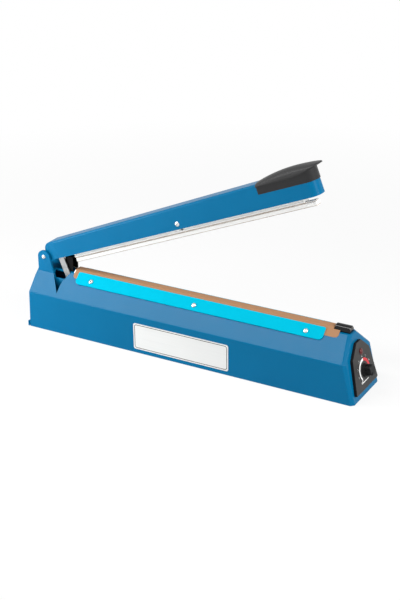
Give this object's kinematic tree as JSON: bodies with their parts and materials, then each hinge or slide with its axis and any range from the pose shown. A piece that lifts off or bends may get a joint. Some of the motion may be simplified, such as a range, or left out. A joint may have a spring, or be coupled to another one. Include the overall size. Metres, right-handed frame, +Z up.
{
  "type": "impulse heat sealer",
  "caption": "Bench-top impulse heat sealer: a sprung lever arm presses a floating white bar onto a cloth-covered heating strip along a bevelled base with a timer dial.",
  "frame": {"origin": "on the bench under the middle of the overall box, with the feet on Z = 0 and the arm standing open", "axes": "+X along the jaw towards the control panel, +Y towards the back wall with the cable bush, +Z up"},
  "size_m": [0.5108, 0.0862, 0.3015],
  "materials": {
    "housing_blue": "moulded, satin gloss",
    "tray_blue": "sprayed sheet",
    "arm_blue": "sprayed pressed sheet, gloss",
    "ear_blue": "sprayed steel plate",
    "foot_rubber": "matt",
    "screw_zinc": "bright zinc",
    "pin_steel": "bright",
    "bracket_zinc": "zinc plated",
    "spring_steel": "oiled spring wire",
    "rail_aluminium": "extruded",
    "tape_cloth": "coated glass cloth",
    "element_alloy": "rolled resistance ribbon",
    "cover_cloth": "coated glass cloth, satin",
    "clamp_cyan": "smooth film, satin",
    "barrel_black": "gloss",
    "hood_black": "matt",
    "label_silver": "printed film",
    "panel_black": "fine grain",
    "lens_red": "tinted lens",
    "knob_black": "fine grain",
    "board_green": "lacquered board",
    "device_black": "moulded",
    "core_steel": "laminated",
    "coil_wound": "taped winding",
    "bar_white": "white enamel",
    "strip_rubber": "silicone",
    "handle_black": "fine grain",
    "pot_can": "plated"
  },
  "bodies": {
    "base": {"housing": "housing_blue", "bottom_tray": "tray_blue", "rubber_feet": "foot_rubber", "tray_screws": "screw_zinc", "hinge_bracket": "ear_blue", "hinge_pin": "pin_steel", "hinge_sleeve": "hood_black", "hinge_washers": "bracket_zinc", "hinge_spring": "spring_steel", "element_rail": "rail_aluminium", "rail_tape": "tape_cloth", "heating_element": "element_alloy", "slip_cover": "cover_cloth", "front_clamp_plate": "clamp_cyan", "rear_clamp_plate": "clamp_cyan", "clamp_screws": "screw_zinc", "stop_barrel": "barrel_black", "terminal_posts": "pin_steel", "terminal_hood": "hood_black", "label_plate": "label_silver", "control_panel": "panel_black", "indicator_lamp": "lens_red", "timer_pot": "pot_can", "switch_body": "device_black", "switch_stand": "bracket_zinc", "transformer_core": "core_steel", "transformer_coil": "coil_wound", "transformer_strap": "bracket_zinc", "board_standoffs": "device_black", "timer_board": "board_green", "timer_relay": "device_black", "timer_capacitor": "device_black", "cable_bush": "foot_rubber"},
    "arm": {"arm_channel": "arm_blue", "arm_bracket": "bracket_zinc", "bar_pin": "pin_steel", "handle_cap": "handle_black", "press_spring_left": "spring_steel", "press_spring_right": "spring_steel"},
    "press_bar": {"press_bar": "bar_white", "press_strip": "strip_rubber"},
    "knob": {"timer_knob": "knob_black", "timer_shaft": "pin_steel"},
    "lever": {"switch_lever": "spring_steel"}
  },
  "joints": [
    {"name": "arm_hinge", "type": "hinge", "parent": "base", "child": "arm", "pos_m": [-0.24088, 0, 0.0987], "axis": [0, 1, 0], "range_deg": [0, 22], "stiffness_Nm_per_rad": 4, "springref_deg": -37.24, "deforming": ["hinge_spring"]},
    {"name": "press_bar_float", "type": "slide", "parent": "arm", "child": "press_bar", "axis": [-0.3746, 0, 0.9272], "range_m": [0, 0.0092], "deforming": ["press_spring_left", "press_spring_right"]},
    {"name": "timer_dial", "type": "hinge", "parent": "base", "child": "knob", "pos_m": [0.23843, 0, 0.03202], "axis": [0.9703, 0, 0.2419], "range_deg": [-270, 0]},
    {"name": "switch_lever", "type": "hinge", "parent": "base", "child": "lever", "pos_m": [-0.18898, -0.0088, 0.0578], "axis": [0, -1, 0], "range_deg": [0, 15]}
  ],
  "couplings": [
    {"joint": "press_bar_float", "follows": "arm_hinge", "m_per_rad": 0.023955},
    {"joint": "switch_lever", "follows": "arm_hinge", "ratio": 0.6818}
  ]
}
